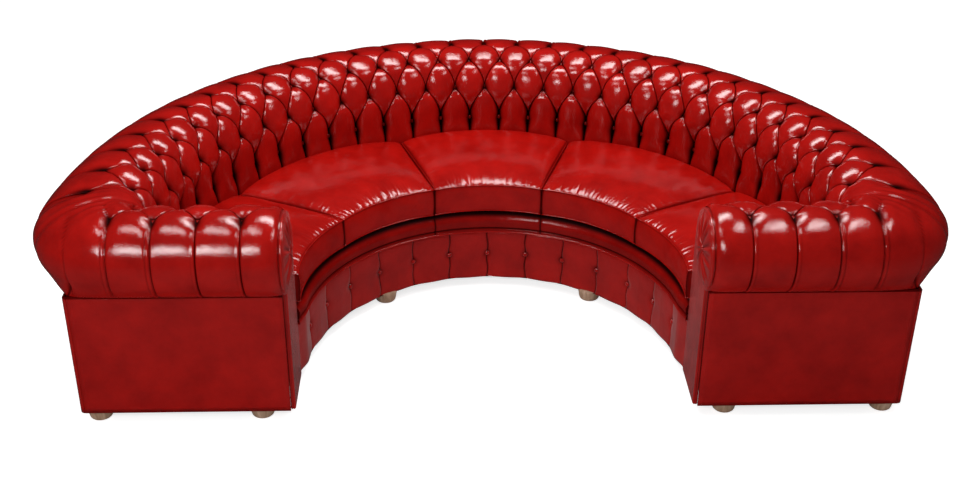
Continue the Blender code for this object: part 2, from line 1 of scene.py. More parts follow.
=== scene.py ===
"""Looks of the half-round buttoned sofa: leather skins, seams, buttons, cushions, feet, light and camera.

Metres, +Z up, front towards -Y. Shapes are worked out around the centre of the sofa's half circle, and
to_row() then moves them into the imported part's frame. Sizes are the part's own, repeated here.
"""
import math

import bmesh
import bpy
import numpy as np
from mathutils import Matrix, Vector


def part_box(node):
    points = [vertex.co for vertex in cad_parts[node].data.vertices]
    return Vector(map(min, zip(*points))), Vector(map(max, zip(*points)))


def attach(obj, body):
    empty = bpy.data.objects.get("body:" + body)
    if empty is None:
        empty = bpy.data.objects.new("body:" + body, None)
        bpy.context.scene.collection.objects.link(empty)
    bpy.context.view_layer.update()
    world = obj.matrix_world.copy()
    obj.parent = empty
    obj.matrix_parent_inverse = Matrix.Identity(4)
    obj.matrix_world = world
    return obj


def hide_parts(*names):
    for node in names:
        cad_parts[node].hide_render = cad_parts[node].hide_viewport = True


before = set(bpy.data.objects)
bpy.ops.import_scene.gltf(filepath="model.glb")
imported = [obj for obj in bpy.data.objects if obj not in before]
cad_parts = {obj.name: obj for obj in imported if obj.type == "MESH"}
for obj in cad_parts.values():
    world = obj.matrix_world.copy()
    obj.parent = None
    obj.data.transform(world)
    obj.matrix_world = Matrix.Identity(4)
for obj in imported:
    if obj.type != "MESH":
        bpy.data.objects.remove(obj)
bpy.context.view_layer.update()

rigid_body = "frame_and_upholstery"
cushion_bodies = ("cushion_left_end", "cushion_left_middle", "cushion_centre", "cushion_right_middle",
                  "cushion_right_end")
arm_sides = ((-1, "left"), (1, "right"))
quarter = math.pi / 2
tiny = 1e-9

# Plan and heights of the part
border_radius = 0.668
seat_depth = 0.460
arm_front = 0.681
tuft_columns = 30
arm_first_button = 0.807
arm_tuft_pitch = 0.139956
cover_bottom = 0.0423
platform_bottom = 0.2486
platform_top = 0.3376
cushion_bottom = 0.3379
cushion_top = 0.4499
panel_share = 0.32
lower_row_stations = (1.633, 1.155, 0.750)
corner_power = 0.83
corner_sharp_power = 0.08
corner_sharp_station = 3.3
corner_blend_start = math.radians(78)

back_radius = border_radius + seat_depth
last_column = tuft_columns // 2
tuft_angle = math.pi / tuft_columns

back_section = {"crest_height": 0.805, "face_drop": 0.185, "roll_drop": 0.165, "under_drop": 0.148,
                "crest_out": 0.150, "roll_out": 0.375, "under_out": 0.221, "top_row": 2.065}
arm_section = {"crest_height": 0.788, "face_drop": 0.168, "roll_drop": 0.148, "under_drop": 0.148,
               "crest_out": 0.168, "roll_out": 0.322, "under_out": 0.168, "top_row": 2.167}
corner_section = dict(arm_section, crest_out=0.150, roll_out=0.391, under_out=0.213471)
back_panel_out, arm_panel_reach = (
    section["under_out"] + panel_share * (section["roll_out"] - section["under_out"])
    for section in (back_section, arm_section))
panel_radius = back_radius + back_panel_out
back_reach = (back_radius + back_section["roll_out"]) * math.cos(tuft_angle / 2)
row_shift = (arm_section["roll_out"] - back_reach) / 2

# Buttoning, in the part's sizes and in the finer sizes of the leather. A run is an upright pleat past the
# first and last buttons: its depth and fullness. Settle is how soon the diamonds have become runs.
button_depth = 0.030
pleat_depth = 0.013
row_depth_shares = (0.45, 0.90, 1.0, 1.0)
pillow_share = 0.46
crease_depth = 0.0035
low_crease_depth = 0.010
crease_width = 0.014
ripple_depth = 0.0014
back_pitch = 0.122
back_row_length = 0.115
back_run = (0.0040, 0.16)
back_settle = 5.0
back_flap_pitch = 0.150
arm_row_length = 0.105
arm_run = (0.0030, 0.11)
arm_settle = 8.0
arm_top_pit = 0.013
flap_width = 0.015
flap_depth = 0.0034
flap_rise = 0.0016
flap_groove = 0.0022
mitre_turn = math.radians(25)
mitre_width = math.radians(13)
mitre_depth = 0.006
fan_depth = 0.0020
low_fold_turn = math.radians(55)
low_fold_depth = 0.005
leather_end = 0.6925
shoulder_start = 0.750
shoulder_drop = 0.027
shoulder_least = 0.002
half_samples = (0, 0.006, 0.014, 0.025, 0.042, 0.065, 0.095, 0.13, 0.17, 0.215, 0.265, 0.32, 0.38, 0.44, 0.5)
spans = 2 * (len(half_samples) - 1)
across_samples = np.array([*half_samples, *(1 - share for share in reversed(half_samples[:-1]))])
outer_rows = np.array([-1.05, -1.02, -1.0, -0.96, -0.92, *np.arange(-0.88, -0.3, 0.03), -0.28, -0.25, -0.22,
                       -0.19, -0.16, -0.135, -0.11, -0.09, -0.07, -0.052, -0.036, -0.022, -0.01])
lower_rows = np.array([3.015, 3.04, 3.08, 3.14, 3.22, 3.32, 3.45, 3.6, 3.8, 4.0])

# Covered buttons and cords
button_radius = 0.0085
button_rise = 0.0035
button_sink = 0.004
arm_top_button_depth = 0.0185
button_sides = 14
button_rings = 5
border_button_size = (0.0092, 0.0065)
scroll_button_size = (0.0105, 0.006)
cord_sides = 8
platform_cord = 0.0042
platform_cord_height = 0.2515
cushion_cord = 0.0024
scroll_cord = 0.0058

# Border, platform, cushions, panels and arm fronts
border_pitch = math.pi / 14
border_button_height = 0.150
border_top = 0.2483
border_hem = 0.004
border_thickness = 0.022
end_draw = 0.0145
lip_radius = 0.042
seam_width = 0.0035
lip_seam_height = 0.268
lip_belly_height = 0.295
deck_seam_turn = math.radians(18)
cushion_angle = math.pi / 5
cushion_height = cushion_top - cushion_bottom
cushion_crown = 0.050
cushion_rear_crown = 0.010
cushion_seam_swing = math.radians(4)
gather_rise = 0.0019
seam_shade = 0.0022
panel_bend = 0.006
panel_steps = 40
board_thickness = 0.010
facing_edge = 0.006
facing_foot = 0.005


def to_row(points):
    """Moves points from the half circle's centre into the part's frame."""
    return points + np.array([0.0, row_shift, 0.0])


def mix(section, other, share):
    return {name: size + (other[name] - size) * share for name, size in section.items()}


def unit(share):
    return np.clip(share, 0, 1)


def smooth(share):
    share = unit(share)
    return share * share * (3 - 2 * share)


def bell(distance, width):
    """1 in the middle, falling away on both sides."""
    return np.exp(-(distance / width) ** 2)


def fade(distance, length):
    return np.exp(-distance / length)


def hashed(number):
    """A steady number from 0 to 1 for each tuft or button, so that no two are the same."""
    value = np.sin(number * 12.9898) * 43758.5453
    return value - np.floor(value)


def numbered(rings, rows):
    return np.arange(rings * rows).reshape(rings, rows)


def sheet_faces(base, close_rings=0, close_rows=0):
    """Faces of a sheet of numbered points, (rings, rows), which closes on itself where 1 is given."""
    base = np.pad(base, ((0, close_rings), (0, close_rows)), "wrap")
    return np.stack([base[:-1, :-1], base[1:, :-1], base[1:, 1:], base[:-1, 1:]], -1).reshape(-1, 4).tolist()


def section_point(section, station):
    """Point on a roll's outline: 0 foot, 1 where the face leans back, 2 crest, 3 outermost, 4 under."""
    crest_out, crest_height = section["crest_out"], section["crest_height"]
    roll_height = crest_height - section["roll_drop"]
    face_top = crest_height - section["face_drop"]
    lean = (2 - station) * quarter
    over = (station - 2) * quarter
    under = (station - 3) * math.acos(panel_share)
    out = np.where(station <= 1, 0.0, np.where(
        station <= 2, crest_out * (1 - np.sin(lean)), np.where(
            station <= 3, crest_out + (section["roll_out"] - crest_out) * np.sin(over),
            section["under_out"] + (section["roll_out"] - section["under_out"]) * np.cos(under))))
    height = np.where(station <= 1, platform_bottom + (face_top - platform_bottom) * station, np.where(
        station <= 2, crest_height - section["face_drop"] * (1 - np.cos(lean)), np.where(
            station <= 3, roll_height + section["roll_drop"] * np.cos(over),
            roll_height - section["under_drop"] * np.sin(under))))
    return out, height


def inset_point(section, station, depth):
    """Point of the outline moved into the roll, square to the outline."""
    nudge = 0.01
    low_out, low_height = section_point(section, station - nudge)
    high_out, high_height = section_point(section, station + nudge)
    along, rise = high_out - low_out, high_height - low_height
    length = np.hypot(along, rise)
    out, height = section_point(section, station)
    return out + depth * rise / length, height - depth * along / length


def row_station(section, row):
    """Station of a row: 0 on the crest, 3 the lowest buttons, 4 the foot and -1 the underside's end."""
    top = section["top_row"]
    first, second, third = lower_row_stations
    return np.where(row <= 0, top - row * (4 - top), np.where(
        row <= 1, top + (first - top) * row, np.where(
            row <= 2, first + (second - first) * (row - 1), np.where(
                row <= 3, second + (third - second) * (row - 2), third * (4 - row)))))


def corner_share(turn):
    """How far the back's section has become the corner's."""
    return smooth((np.abs(turn) - corner_blend_start) / (quarter - corner_blend_start))


def lattice_row(level):
    """Row of a lattice level: pleats leave the upper button sideways and reach the lower one upright."""
    whole = np.floor(level + tiny)
    return whole + np.arcsin(unit(level - whole)) / quarter


def lattice_level(row):
    inner = np.clip(row, 0, 3)
    whole = np.floor(inner + tiny)
    return whole + np.sin((inner - whole) * quarter)


def nearest_button(column, row, pitch, row_length):
    """Distance in metres and direction from the nearest button, and a number that stands for it."""
    best = np.full(np.shape(column), 9.0)
    angle, which = np.zeros_like(best), np.zeros_like(best)
    for button_row in range(4):
        offset = 0.5 * (button_row % 2)
        nearest = np.round(column - offset) + offset
        across = (column - nearest) * pitch
        up = (button_row - row) * row_length
        distance = np.hypot(across, up)
        closer = distance < best
        best = np.where(closer, distance, best)
        angle = np.where(closer, np.arctan2(up, across), angle)
        which = np.where(closer, nearest + 40 * button_row, which)
    return best, angle, which


def quilt(column, row, pitch, row_length, level, run, settle, top_pit=0.0):
    """Depth of the buttoned leather below its smooth outline, and the painted shade there (0 to 1)."""
    level = lattice_level(row) if level is None else level
    first, second = column + level / 2, column - level / 2
    across, back = np.abs(np.sin(np.pi * first)), np.abs(np.sin(np.pi * second))
    share = np.interp(np.clip(row, 0, 3), range(4), row_depth_shares)
    near = 1 - np.maximum(across, back)
    valley = pleat_depth + (button_depth * share - pleat_depth) * near
    past = np.where(row < 0, -row, np.where(row > 3, row - 3, 0))
    straight = unit(past * settle)
    valley = valley + (run[0] - valley) * straight
    power = pillow_share * (1 - straight) + run[1] * straight
    vary = 0.9 + 0.25 * hashed(np.round(first) + 7.3 * np.round(second))
    depth = valley * vary * (1 - (across * back) ** power)
    gap = np.minimum(np.abs(first - np.round(first)), np.abs(second - np.round(second)))
    low = smooth((row - 2.35) / 0.6)
    crease = bell(gap, crease_width * (1 + 2.2 * low))
    depth = depth + (crease_depth + low_crease_depth * low) * crease
    distance, angle, which = nearest_button(column, row, pitch, row_length)
    ripple = np.cos(7 * angle + 6.3 * hashed(which)) * fade(distance, 0.018)
    depth = depth + ripple_depth * ripple * smooth((distance - 0.006) / 0.012) * (1 - straight)
    depth = depth + top_pit * bell(distance, 0.023) * (row < 0.5)
    # Painted shade in the creases and round each button, and along the last strip of the roll's underside.
    painted_shade = unit(crease + 1.1 * bell(distance, 0.015))
    return depth, np.maximum(painted_shade, smooth((-row - 1.015) / 0.035))


def flap(offset, straight):
    """A pleat that is folded over: a groove, a narrow raised band and a fine second line, with painted shade
    on the groove and the line.
    """
    band = np.where((offset > 0) & (offset < flap_width), np.sin(np.pi * unit(offset / flap_width)), 0)
    main = bell(offset, 0.0022)
    second = bell(offset - flap_width, 0.0018)
    depth = straight * (flap_depth * main + flap_groove * second - flap_rise * band)
    return depth, straight * unit(0.8 * main + 0.35 * second)


class Skin:
    """Leather surface built from blocks of points, welded where they meet."""

    def __init__(self):
        self.points, self.faces, self.labels, self.painted_shades = [], [], [], []
        self.count = 0

    def add(self, points, painted_shades, faces, label):
        self.points.append(points)
        self.painted_shades.append(painted_shades)
        self.faces += [tuple(self.count + index for index in face) for face in faces]
        self.labels += [label] * len(faces)
        self.count += len(points)

    def grid(self, points, painted_shades, label):
        """points is (rings, rows, 3)."""
        self.add(points.reshape(-1, 3), painted_shades.reshape(-1), sheet_faces(numbered(*points.shape[:2])), label)


def lattice_nodes(first_column, end_column):
    """Nodes and faces of the diamond lattice between two whole columns, from level 0 to level 3."""
    low, high = 2 * first_column * spans, 2 * end_column * spans
    lowest, highest = (low - 3 * spans) // 2, high // 2 + 2
    index = {}
    for second in range(lowest - 1, highest):
        for first in range(max(second, low - second), min(second + 3 * spans, high - second) + 1):
            index[first, second] = len(index)
    faces = []
    for second in range(lowest - 2, highest):
        for first in range(second - 1, second + 3 * spans + 2):
            around = ((first, second), (first + 1, second), (first + 1, second + 1), (first, second + 1))
            corners = [index[key] for key in around if key in index]
            if len(corners) >= 3:
                faces.append(corners)
    wholes = np.array(list(index)).T
    first, second = wholes // spans + across_samples[wholes % spans]
    return (first + second) / 2, first - second, faces


def upright_lines(first_column, end_column):
    """Columns and rows of the sheets above and below the lattice, the lower one half a column aside."""
    inside = across_samples[None, :-1]
    wholes = (np.arange(first_column, end_column)[:, None] + inside).reshape(-1)
    halves = (np.arange(first_column - 0.5, end_column)[:, None] + inside).reshape(-1)
    halves = halves[(halves >= first_column - tiny) & (halves <= end_column + tiny)]
    above = (np.append(wholes, end_column), np.append(outer_rows, 0.0))
    return above, (halves, np.append(3.0, lower_rows))


def wobble(points, size=0.0016):
    """Slow, small unevenness of hand-pulled leather."""
    total = np.zeros(len(points))
    state = np.random.default_rng(3)
    for scale in (9.0, 15.0, 24.0):
        for _ in range(4):
            way = state.normal(size=3)
            way *= scale / np.linalg.norm(way)
            total += np.sin(points @ way + state.uniform(0, 6.3)) / scale * 9
    return total * size / 3


def back_point(column, row, depth):
    turn = column * tuft_angle
    section = mix(back_section, corner_section, corner_share(turn))
    out, height = inset_point(section, row_station(section, row), depth)
    radius = back_radius + out
    return np.stack([radius * np.sin(turn), radius * np.cos(turn), height], -1)


def back_quilt(column, row, level=None):
    depth, painted_shade = quilt(column, row, back_pitch, back_row_length, level, back_run, back_settle)
    straight = smooth(unit(-row) * 6)
    extra, line = flap((column - np.round(column)) * back_flap_pitch, straight)
    outer = smooth((-row - 0.12) / 0.3)
    last = smooth((np.abs(column) - 12.5) / 2.5) * smooth(-row / 0.2)
    # The pleat lines add painted shade; all painted shade is fainter on the outside and at the last columns.
    painted_shade = np.maximum(painted_shade * (1 - 0.75 * straight), 0.65 * line)
    return (depth + 0.75 * extra) * (1 - 0.45 * outer - 0.35 * last), painted_shade * (1 - 0.6 * outer - 0.3 * last)


def make_back_skin(skin):
    for number in range(5):
        first = -last_column + number * tuft_columns // 5
        end = first + tuft_columns // 5
        column, level, faces = lattice_nodes(first, end)
        row = lattice_row(level)
        depth, painted_shade = back_quilt(column, row, level)
        skin.add(back_point(column, row, depth), painted_shade, faces, number)
        for columns, rows in upright_lines(first, end):
            column, row = np.meshgrid(columns, rows, indexing="ij")
            depth, painted_shade = back_quilt(column, row)
            skin.grid(back_point(column, row, depth), painted_shade, number)


def corner_point(side, share, station, depth):
    turn = share * quarter
    past = unit((station - corner_sharp_station) / (4 - corner_sharp_station))
    power = corner_power + (corner_sharp_power - corner_power) * past * past
    back_out, back_height = inset_point(corner_section, station, depth)
    arm_out, arm_height = inset_point(arm_section, station, depth)
    return np.stack([side * (back_radius + back_out * unit(np.cos(turn)) ** power),
                     -arm_out * unit(np.sin(turn)) ** power,
                     back_height + (arm_height - back_height) * share], -1)


def arm_point(side, across, row, depth):
    station = row_station(arm_section, row)
    out, height = inset_point(arm_section, station, depth + end_shoulder(across, station))
    return np.stack([side * across, -out, height], -1)


def arm_quilt(across, row, level=None):
    """The arm's buttoning by distance from the middle of the sofa."""
    column = (across - arm_first_button) / arm_tuft_pitch
    depth, painted_shade = quilt(column, row, arm_tuft_pitch, arm_row_length, level, arm_run, arm_settle,
                        top_pit=arm_top_pit)
    straight = smooth(unit(-row - 0.04) * 8)
    nearest = np.clip(np.round(column), 0, 3)
    extra, line = flap((column - nearest) * arm_tuft_pitch, straight)
    depth = depth * (1 - 0.42 * bell(row, 0.45))
    # The folded-over pleats add their painted shade.
    depth, painted_shade = depth + extra, np.maximum(painted_shade * (1 - 0.6 * straight), line)
    strength = np.where(column < 0, unit(1 + column / 0.70) ** 0.5, 1)
    return depth * strength, painted_shade * strength


def shoulder_share(station):
    """How far the roll's end curves in: over the crest and the outside, less at the face and underneath."""
    return smooth(station - 1.0) * (1 - 0.9 * smooth((station - 3.35) / 0.65))


def end_shoulder(across, station):
    part = unit((shoulder_start - across) / (shoulder_start - leather_end))
    drop = shoulder_least + (shoulder_drop - shoulder_least) * shoulder_share(station)
    return drop * (1 - np.sqrt(1 - 0.985 * part * part))


def corner_quilt(share, row, across):
    """Round the corner the back's last pleat gives way to a fanned mitre, then to the arm's buttoning."""
    turn = share * quarter
    last_depth, last_painted_shade = back_quilt(np.zeros_like(row) + last_column, row)
    last = unit(1 - turn / math.radians(14)) ** 2
    arm_depth, arm_painted_shade = arm_quilt(across, row)
    arm = smooth((turn - mitre_turn) / math.radians(18))
    wander = mitre_turn + math.radians(5) * np.sin(row * 5 + 1.0) * unit(-row)
    off = (turn - wander) / mitre_width
    over = smooth((row + 0.95) * 3) * smooth(1 - (row - 0.6) / 2)
    fan = bell(row - 0.05, 0.35) * bell(off, 1.6)
    low = bell((turn - low_fold_turn) - 0.25 * (row + 0.6), 0.030) * smooth((-row - 0.60) * 6)
    crease = mitre_depth * over * np.exp(-np.abs(off) * 1.5)
    crease = crease + fan_depth * fan * np.cos(off * 8 + row * 3) + low_fold_depth * low
    # Painted shade: the back's and the arm's, and more in the mitre's fan and in the low fold.
    painted_shade = unit(last_painted_shade * last + arm_painted_shade * arm + 0.3 * over * fan * bell(off, 0.12) + 0.8 * low)
    return last_depth * last + arm_depth * arm * (1 - last) + crease, painted_shade


def make_arm_skin(skin, side):
    label = 5 if side < 0 else 6
    levels = np.concatenate([2 * across_samples, 2 + 2 * np.array(half_samples[1:])])
    rows = np.concatenate([outer_rows, lattice_row(levels), lower_rows])
    row_levels = np.concatenate([outer_rows * 0, levels, lower_rows * 0 + 3])
    share, row = np.meshgrid(np.linspace(0, 1, 181), rows, indexing="ij")
    station = row_station(mix(corner_section, arm_section, share), row)
    across = np.abs(corner_point(1, share, station, 0.0)[..., 0])
    depth, painted_shade = corner_quilt(share, row, across)
    skin.grid(corner_point(side, share, station, depth), painted_shade, label)
    last_button = arm_first_button + 2 * arm_tuft_pitch
    rounding = shoulder_start - (shoulder_start - leather_end) * np.sin(np.linspace(0, quarter, 22))
    front_end = np.append(np.linspace(arm_first_button, shoulder_start, 18)[:-1], rounding)
    for places in (np.linspace(back_radius, last_button, 12), front_end):
        across, row = np.meshgrid(places, rows, indexing="ij")
        depth, painted_shade = arm_quilt(across, row, np.broadcast_to(row_levels, across.shape))
        skin.grid(arm_point(side, across, row, depth), painted_shade, label)
    column, level, faces = lattice_nodes(0, 2)
    row = lattice_row(level)
    across = arm_first_button + column * arm_tuft_pitch
    depth, painted_shade = arm_quilt(across, row, level)
    skin.add(arm_point(side, across, row, depth), painted_shade, faces, label)
    for columns, rows in upright_lines(0, 2):
        across, row = np.meshgrid(arm_first_button + columns * arm_tuft_pitch, rows, indexing="ij")
        depth, painted_shade = arm_quilt(across, row)
        skin.grid(arm_point(side, across, row, depth), painted_shade, label)


def new_object(name, data):
    made = bpy.data.objects.new(name, data)
    bpy.context.scene.collection.objects.link(made)
    return made


def mesh_piece(name, points, faces, material, body=rigid_body, slot="leather", painted_shades=None):
    """A mesh from points in the half circle's frame, riding on a body."""
    mesh = bpy.data.meshes.new(name)
    points = to_row(np.asarray(points, float).reshape(-1, 3))
    mesh.from_pydata(points.tolist(), [], [tuple(face) for face in faces])
    # The per-point values given here are painted shade, 0 to 1: the leather darkens and loses its coat where
    # they are high.
    if painted_shades is not None:
        attribute = mesh.attributes.new("painted_shade", "FLOAT", "POINT")
        attribute.data.foreach_set("value", np.asarray(painted_shades, np.float32).reshape(-1))
    mesh.shade_smooth()
    made = new_object(name, mesh)
    made.data.materials.append(material)
    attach(made, body)
    return made


def make_buttoned_covers(material, back_material):
    """One welded skin, split into the part's seven lengths with its smooth normals kept."""
    skin = Skin()
    make_back_skin(skin)
    make_arm_skin(skin, -1)
    make_arm_skin(skin, 1)
    points = np.concatenate(skin.points)
    painted_shades = np.concatenate(skin.painted_shades)
    points[:, 2] += wobble(points) * 0.6
    points[:, :2] *= 1 + wobble(points + 5)[:, None] * 0.5
    mesh = bpy.data.meshes.new("whole_skin")
    mesh.from_pydata(points.tolist(), [], skin.faces)
    work = bmesh.new()
    work.from_mesh(mesh)
    part = work.faces.layers.int.new("part")
    painted_shade = work.verts.layers.float.new("painted_shade")
    for face, label in zip(work.faces, skin.labels):
        face[part] = label
    for vertex, value in zip(work.verts, painted_shades):
        vertex[painted_shade] = value
    bmesh.ops.remove_doubles(work, verts=work.verts, dist=0.00002)
    bmesh.ops.dissolve_degenerate(work, edges=work.edges, dist=0.00001)
    bmesh.ops.recalc_face_normals(work, faces=work.faces)
    probe = max(work.faces, key=lambda face: face.calc_center_median().z)
    if probe.normal.z < 0:
        bmesh.ops.reverse_faces(work, faces=work.faces)
    work.normal_update()
    work.verts.index_update()
    whole_points = np.array([vertex.co for vertex in work.verts])
    whole_normals = np.array([vertex.normal for vertex in work.verts])
    whole_painted_shades = np.array([vertex[painted_shade] for vertex in work.verts])
    groups = {}
    for face in work.faces:
        groups.setdefault(face[part], []).append([vertex.index for vertex in face.verts])
    work.free()
    bpy.data.meshes.remove(mesh)
    names = [f"buttoned_back_{number + 1}" for number in range(5)] + ["arm_pad_left", "arm_pad_right"]
    for label, faces in sorted(groups.items()):
        used = np.unique(np.concatenate([np.array(face) for face in faces]))
        renumber = np.zeros(len(whole_points), int)
        renumber[used] = np.arange(len(used))
        local = [renumber[face].tolist() for face in faces]
        made = mesh_piece(names[label] + "_cover", whole_points[used], local,
                          back_material if label < 5 else material, painted_shades=whole_painted_shades[used])
        made.data.normals_split_custom_set_from_vertices(whole_normals[used].tolist())
        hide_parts(names[label])


def set_inputs(tree, node, inputs):
    """Gives a node's inputs their values, or links them to other nodes' outputs."""
    for name, value in inputs.items():
        if isinstance(value, bpy.types.NodeSocket):
            tree.links.new(value, node.inputs[name])
        else:
            node.inputs[name].default_value = value


def add_node(tree, kind, output, inputs=None, **settings):
    """Adds a shader node and gives back one of its outputs."""
    node = tree.nodes.new("ShaderNode" + kind)
    for name, value in settings.items():
        setattr(node, name, value)
    set_inputs(tree, node, inputs or {})
    return node.outputs[output]


def add_noise(tree, place, scale, **inputs):
    inputs = {name.title(): value for name, value in inputs.items()}
    return add_node(tree, "TexNoise", "Fac", {"Vector": place, "Scale": scale, **inputs})


def add_ramp(tree, source, low, high, low_place=0.0, high_place=1.0):
    colour = add_node(tree, "ValToRGB", "Color", {"Fac": source})
    stops = zip(colour.node.color_ramp.elements, (low_place, high_place), (low, high))
    for element, place, value in stops:
        element.position = place
        element.color = (*value, 1)
    return colour


def add_range(tree, source, low, high, start=0.0, end=1.0):
    """A value that runs from low to high as its source runs from start to end."""
    return add_node(tree, "MapRange", "Result", {"Value": source, "From Min": start, "From Max": end,
                                                 "To Min": low, "To Max": high})


def add_bump(tree, height, strength, distance, under=None):
    """Normal of a bumpy surface, on top of the one under it."""
    inputs = {"Height": height, "Strength": strength, "Distance": distance}
    if under is not None:
        inputs["Normal"] = under
    return add_node(tree, "Bump", "Normal", inputs)


def new_material(name):
    material = bpy.data.materials.new(name)
    material.use_nodes = True
    tree = material.node_tree
    return material, tree, tree.nodes["Principled BSDF"]


def leather(name, deep=(0.31, 0.0030, 0.0020), light=(0.46, 0.0058, 0.0036), coat=1.0, polish=0.11,
            dull_below=0.0, sheen=0.0):
    """Glossy leather: dye clouds, painted crease shade, pebble grain, and a finish worn off under
    dull_below.
    """
    material, tree, shader = new_material(name)
    place = add_node(tree, "TexCoord", "Object")
    painted_shade = add_node(tree, "Attribute", "Fac", attribute_name="painted_shade")
    dye = add_ramp(tree, add_noise(tree, place, 9.0, detail=6.0, roughness=0.65), deep, light, 0.32, 0.70)
    # Painted shade: the colour darkens down to 3 % where the mesh's painted shade is full.
    darker = add_node(tree, "VectorMath", "Vector", {0: dye, "Scale": add_range(tree, painted_shade, 1.0, 0.03)},
                      operation="SCALE")
    pebble = add_node(tree, "TexVoronoi", "Distance", {"Vector": place, "Scale": 420.0},
                      feature="DISTANCE_TO_EDGE")
    peel = add_noise(tree, place, 150.0, detail=4.0)
    slow = add_noise(tree, place, 24.0, detail=2.0)
    normal = add_bump(tree, slow, 0.16, 0.006)
    normal = add_bump(tree, peel, 0.22, 0.0016, normal)
    normal = add_bump(tree, pebble, 0.16, 0.0012, normal)
    # The coat fades out under the same painted shade, so shaded creases show no reflection.
    finish = add_range(tree, painted_shade, coat, 0.0, end=0.7)
    height = add_node(tree, "SeparateXYZ", "Z", {"Vector": place})
    worn = add_range(tree, height, 0.22, 1.0, dull_below - 0.09, dull_below)
    weight = add_node(tree, "Math", "Value", {0: finish, 1: worn}, operation="MULTIPLY")
    set_inputs(tree, shader, {"Base Color": darker, "Normal": normal, "Coat Normal": normal,
                              "Roughness": add_range(tree, peel, 0.36, 0.50), "Coat Weight": weight})
    shader.inputs["Specular IOR Level"].default_value = 0.03
    shader.inputs["Sheen Weight"].default_value = sheen
    shader.inputs["Sheen Roughness"].default_value = 0.4
    shader.inputs["Coat Roughness"].default_value = polish
    shader.inputs["Coat IOR"].default_value = 1.75
    return material


def wood(name, deep, light, stretch=(60, 60, 6), rough=0.45):
    material, tree, shader = new_material(name)
    along = add_node(tree, "Mapping", "Vector", {"Vector": add_node(tree, "TexCoord", "Object"),
                                                 "Scale": stretch})
    rings = add_noise(tree, along, 1.0, detail=6.0, distortion=0.6)
    set_inputs(tree, shader, {"Base Color": add_ramp(tree, rings, deep, light, 0.35, 0.68),
                              "Normal": add_bump(tree, rings, 0.25, 0.001),
                              "Roughness": add_range(tree, rings, rough - 0.08, rough + 0.10)})
    return material


def woven(name, colour, scale=500.0):
    material, tree, shader = new_material(name)
    place = add_node(tree, "TexCoord", "Object")
    normal = None
    for direction in ("X", "Y"):
        threads = add_node(tree, "TexWave", "Fac", {"Vector": place, "Scale": scale, "Distortion": 0.5},
                           bands_direction=direction)
        normal = add_bump(tree, threads, 0.4, 0.0006, normal)
    deep, light = ([share * part for part in colour] for share in (0.7, 1.3))
    tone = add_ramp(tree, add_noise(tree, place, 90.0), deep, light)
    set_inputs(tree, shader, {"Normal": normal, "Base Color": tone, "Roughness": 0.9})
    return material


def tube(line, radius, closed=True):
    """Points and faces of a round cord along a line of points."""
    ahead = np.roll(line, -1, 0) - np.roll(line, 1, 0)
    if not closed:
        ahead[0], ahead[-1] = line[1] - line[0], line[-1] - line[-2]
    ahead /= np.linalg.norm(ahead, axis=1)[:, None]
    turns = 2 * np.pi * np.arange(cord_sides)[:, None] / cord_sides
    reference = np.array([0.0, 0.0, 1.0]) if abs(ahead[0][2]) < 0.9 else np.array([1.0, 0.0, 0.0])
    rings = []
    for point, way in zip(line, ahead):
        reference = reference - way * (reference @ way)
        reference /= np.linalg.norm(reference)
        other = np.cross(way, reference)
        rings.append(point + radius * (np.cos(turns) * reference + np.sin(turns) * other))
    base = numbered(len(line), cord_sides)
    faces = sheet_faces(base, int(closed), 1)
    if not closed:
        faces += [base[0, ::-1].tolist(), base[-1].tolist()]
    return np.concatenate(rings), faces


def join_shapes(shapes):
    points, faces, count = [], [], 0
    for shape_points, shape_faces in shapes:
        points.append(shape_points)
        faces += [tuple(count + index for index in face) for face in shape_faces]
        count += len(shape_points)
    return np.concatenate(points), faces


def dome(centre, normal, radius, rise):
    """A covered button: a low dome with a tucked edge, facing along normal."""
    normal = np.asarray(normal) / np.linalg.norm(normal)
    side = np.cross(normal, [0.0, 0.0, 1.0])
    if np.linalg.norm(side) < 0.1:
        side = np.cross(normal, [1.0, 0.0, 0.0])
    side /= np.linalg.norm(side)
    turns = 2 * np.pi * np.arange(button_sides)[:, None] / button_sides
    circle = np.cos(turns) * side + np.sin(turns) * np.cross(normal, side)
    climb = np.arange(button_rings) / button_rings * quarter
    shares = np.append([0.72, 0.97], np.cos(climb))[:, None, None]
    lifts = np.append([-0.5, -0.15], np.sin(climb))[:, None, None]
    points = (centre + radius * shares * circle + rise * lifts * normal).reshape(-1, 3)
    base = numbered(len(shares), button_sides)
    rim = base[-1].tolist()
    faces = sheet_faces(base.T, 1)
    faces += [(here, after, len(points)) for here, after in zip(rim, rim[1:] + rim[:1])]
    faces.append(base[0, ::-1].tolist())
    return np.append(points, [centre + rise * normal], 0), faces


def pit_button(surface, depth):
    """A button in a pit, facing out of the roll. surface gives the point at a depth."""
    seat, lid = surface(depth), surface(depth - 0.01)
    return dome(seat, lid - seat, button_radius, button_rise)


def make_buttons(material):
    """Covered buttons in the pits of the back and the arms."""
    shapes = {"back": [], "arm_left": [], "arm_right": []}
    depths = [button_depth * share + button_sink for share in row_depth_shares]
    depths[0] = arm_top_button_depth
    for row in (1, 2, 3):
        for column in np.arange(1 - last_column - 0.5 * (row % 2), last_column):
            shapes["back"].append(pit_button(lambda depth: back_point(column, row, depth), depths[row]))
    for side, word in arm_sides:
        for row in range(4):
            for number in range(3 - row % 2):
                across = arm_first_button + (0.5 * (row % 2) + number) * arm_tuft_pitch
                made = pit_button(lambda depth: arm_point(side, across, row, depth), depths[row])
                shapes[f"arm_{word}"].append(made)
    for word, made in shapes.items():
        mesh_piece(f"covered_buttons_{word}", *join_shapes(made), material)


